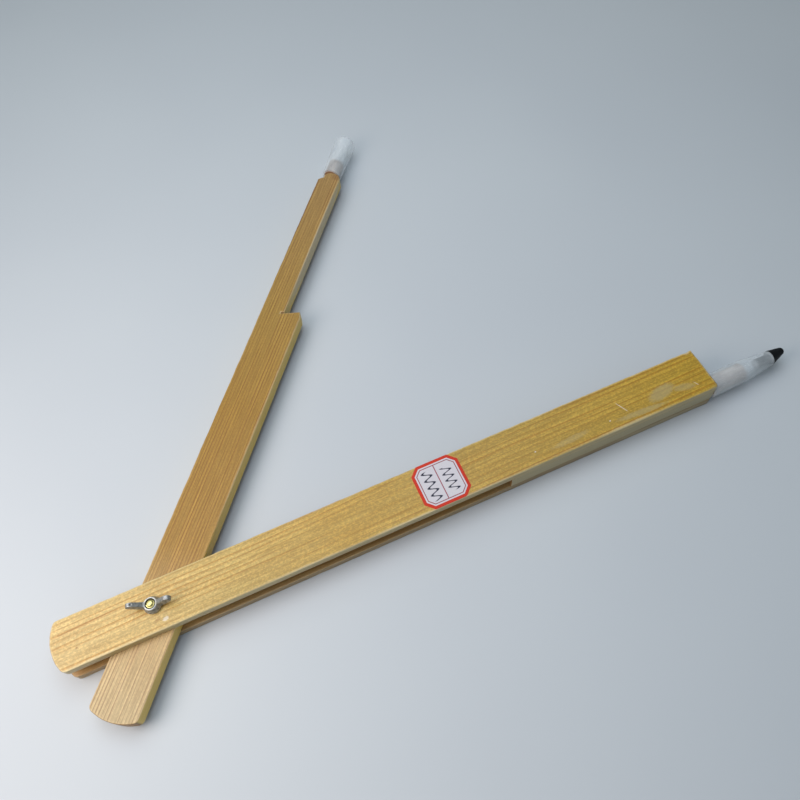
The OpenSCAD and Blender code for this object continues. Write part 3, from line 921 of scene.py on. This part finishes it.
foot_profile = soften([
    (peg_radius, 0), (sleeve_radius, 0), (sleeve_radius, straight), (small_end, sleeve_length),
    (stem, sleeve_length), (stem, straight + neck_in), (peg_radius, straight), (peg_radius, 0)], 0.0005)
foot_sleeve = lathe("foot_sleeve_tube", foot_profile[:-1], foot_origin, foot_axis)
foot_sleeve.data.materials.append(frosted("foot_sleeve_plastic", 0.0, 0.42))
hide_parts("foot_sleeve")
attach(foot_sleeve, "sheath")

# ---- Rubber tip -------------------------------------------------------------
# Moulded black rubber point with a stem that plugs into the foot sleeve. It
# holds the compass's foot on a slippery board, and dust dulls it a little.

stem_length, tip_length, tip_round, tip_rim = 0.012, 0.0124, 0.0028, 0.0005
tip_bend = 0.001


def rubber_tip():
    """Blunt cone on a plug, bent a little to one side by use."""
    ball = tip_length - tip_round
    slant = math.hypot(small_end, ball - tip_rim)
    start = math.degrees(math.acos(tip_round / slant) - math.atan2(ball - tip_rim, small_end))
    nose = arc(0, ball, tip_round, start, 90, 14)
    profile = soften([(0, -stem_length), (stem, -stem_length), (stem, 0), (small_end, 0),
                      (small_end, tip_rim), nose[0]], 0.0003)
    profile += nose[1:-1] + [(0, tip_length)]
    origin = foot_origin + foot_axis * sleeve_length
    tip = lathe("rubber_point", profile, origin, foot_axis)
    aside = Vector((-foot_axis.y, foot_axis.x, 0))
    for vert in tip.data.vertices:
        past = (vert.co - origin).dot(foot_axis) / ball
        vert.co += aside * tip_bend * min(1.0, max(0.0, past))
    return tip


rubber = rubber_tip()


def black_rubber():
    material, tree, shader = bare_material("black_rubber")
    coords = add(tree, "TexCoord")["Object"]
    place = add(tree, "Mapping", {"Vector": coords, "Scale": (1000.0,) * 3})[0]
    dust = grain_noise(tree, place, (1.6, 1.6, 1.6), 4.0, 0.6)
    fine = grain_noise(tree, place, (0.3, 0.3, 0.3), 3.0, 0.6, lift=4.0)
    colour = blend(tree, span(tree, dust, 0.5, 0.75, 0.0, 0.7), (0.005, 0.005, 0.006), (0.022, 0.022, 0.025))
    tree.links.new(colour, shader.inputs["Base Color"])
    tree.links.new(span(tree, dust, 0.3, 0.7, 0.45, 0.7), shader.inputs["Roughness"])
    shader.inputs["Specular IOR Level"].default_value = 0.25
    bump = add(tree, "Bump", {"Strength": 0.3, "Distance": 0.0001, "Height": fine})[0]
    tree.links.new(bump, shader.inputs["Normal"])
    return material


rubber.data.materials.append(black_rubber())
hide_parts("rubber_tip")
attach(rubber, "sheath")

# ---- Chalk peg --------------------------------------------------------------
# The same turned beech peg, shorter, glued into the swing leg's narrow end. It
# fills the root of the chalk holder.

chalk_high = leg_box("chalk_peg")[1]
holder_low, holder_high = leg_box("chalk_holder")
leg_axis = (math.cos(leg_turn), math.sin(leg_turn), 0)
chalk_origin = Matrix.Rotation(leg_turn, 4, "Z") @ Vector(
    (holder_low.x, (holder_low.y + holder_high.y) / 2, (holder_low.z + holder_high.z) / 2))
chalk_peg = turned_peg("chalk_peg_turned", chalk_high.x - holder_low.x, chalk_origin, leg_axis)
chalk_peg.data.materials.append(beech("chalk_peg_beech", leg_turn))
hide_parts("chalk_peg")
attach(chalk_peg, "swing")

# ---- Chalk holder -----------------------------------------------------------
# Frosted polythene tube that widens a little to a round-lipped mouth. The chalk
# is pushed into the mouth and held by the tube's spring.

chalk_radius = socket["dims"]["r_mm"] / 1000
holder_length = holder_high.x - holder_low.x
mouth_radius = (holder_high.z - holder_low.z) / 2
lip, mouth_round, mouth_taper = 0.0014, 0.004, 0.010
lip_turn = math.degrees(math.acos((chalk_radius + lip - mouth_radius + mouth_round) / (mouth_round - lip)))
mouth_height = holder_length - lip - (mouth_round - lip) * math.sin(math.radians(lip_turn))
socket_start = holder_length - lip - socket["dims"]["length_mm"] / 1000
holder_profile = (
    soften([(peg_radius, 0.001), (peg_radius, 0), (sleeve_radius, 0),
            (mouth_radius, holder_length - mouth_taper)], 0.0005)
    + arc(mouth_radius - mouth_round, mouth_height, mouth_round, 0, lip_turn - 8, 8)
    + arc(chalk_radius + lip, holder_length - lip, lip, lip_turn, 180, 12)
    + [(chalk_radius, socket_start), (peg_radius, socket_start)]
)
holder = lathe("chalk_holder_tube", holder_profile, chalk_origin, leg_axis)
holder.data.materials.append(frosted("chalk_holder_plastic", leg_turn, 0.34))
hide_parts("chalk_holder")
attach(holder, "swing")

# ---- Table, light and camera ------------------------------------------------
# Plain pale table top, lit softly from overhead, from the far and near sides of
# the room and by a window on the left. The camera looks down from the near side.

table_half = 4.0
table_mesh = bpy.data.meshes.new("table_top")
table_mesh.from_pydata([(x * table_half, y * table_half, cad_box[0].z)
                        for x, y in ((-1, -1), (1, -1), (1, 1), (-1, 1))], [], [(0, 1, 2, 3)])
table = bpy.data.objects.new("table_top", table_mesh)
bpy.context.scene.collection.objects.link(table)
table_paint, tree, shader = bare_material("table_paint")
coords = add(tree, "TexCoord")["Object"]
clouding = add(tree, "TexNoise", {"Vector": coords, "Scale": 3.0, "Detail": 2.0})[0]
paint = blend(tree, span(tree, clouding, 0.3, 0.7), (0.60, 0.62, 0.645), (0.63, 0.65, 0.67))
tree.links.new(paint, shader.inputs["Base Color"])
shader.inputs["Roughness"].default_value = 0.7
shader.inputs["Specular IOR Level"].default_value = 0.15
table_mesh.materials.append(table_paint)


def area_light(name, place, target, size, power, colour):
    lamp = bpy.data.lights.new(name, "AREA")
    lamp.shape, lamp.size, lamp.energy, lamp.color = "DISK", size, power, colour
    lamp_object = bpy.data.objects.new(name, lamp)
    lamp_object.location = place
    lamp_object.rotation_euler = (Vector(target) - Vector(place)).to_track_quat("-Z", "Y").to_euler()
    bpy.context.scene.collection.objects.link(lamp_object)


area_light("window", (-0.28, 0.0, 0.4), (0.0, 0.05, 0.0), 0.4, 1.75, (1.0, 0.9, 0.83))
area_light("overhead", (0.05, 0.1, 0.9), (0.05, 0.1, 0.0), 1.0, 3.8, (0.68, 0.8, 0.98))
area_light("far_ceiling", (0.2, 0.6, 1.1), (0.2, 0.4, 0.0), 1.4, 5.0, (0.96, 1.0, 0.96))
area_light("near_fill", (-0.3, -1.1, 1.1), (0.1, 0.0, 0.0), 1.4, 1.4, (1.0, 1.0, 0.97))
world = bpy.data.worlds.new("room")
bpy.context.scene.world = world
world.use_nodes = True
world.node_tree.nodes["Background"].inputs["Color"].default_value = (0.68, 0.9, 1.0, 1.0)
world.node_tree.nodes["Background"].inputs["Strength"].default_value = 0.12
bpy.context.scene.view_settings.view_transform = "Standard"

camera = bpy.data.cameras.new("camera")
camera.lens, camera.sensor_width = 32.9, 36.0
camera_object = bpy.data.objects.new("camera", camera)
heading, tilt, roll = (math.radians(a) for a in (-17.84, 29.41, -6.63))
look = Matrix.Rotation(heading, 4, "Z") @ Matrix.Rotation(tilt, 4, "X") @ Matrix.Rotation(roll, 4, "Z")
camera_object.matrix_world = Matrix.Translation((0.1159, -0.1671, 0.4581)) @ look
bpy.context.scene.collection.objects.link(camera_object)
bpy.context.scene.camera = camera_object
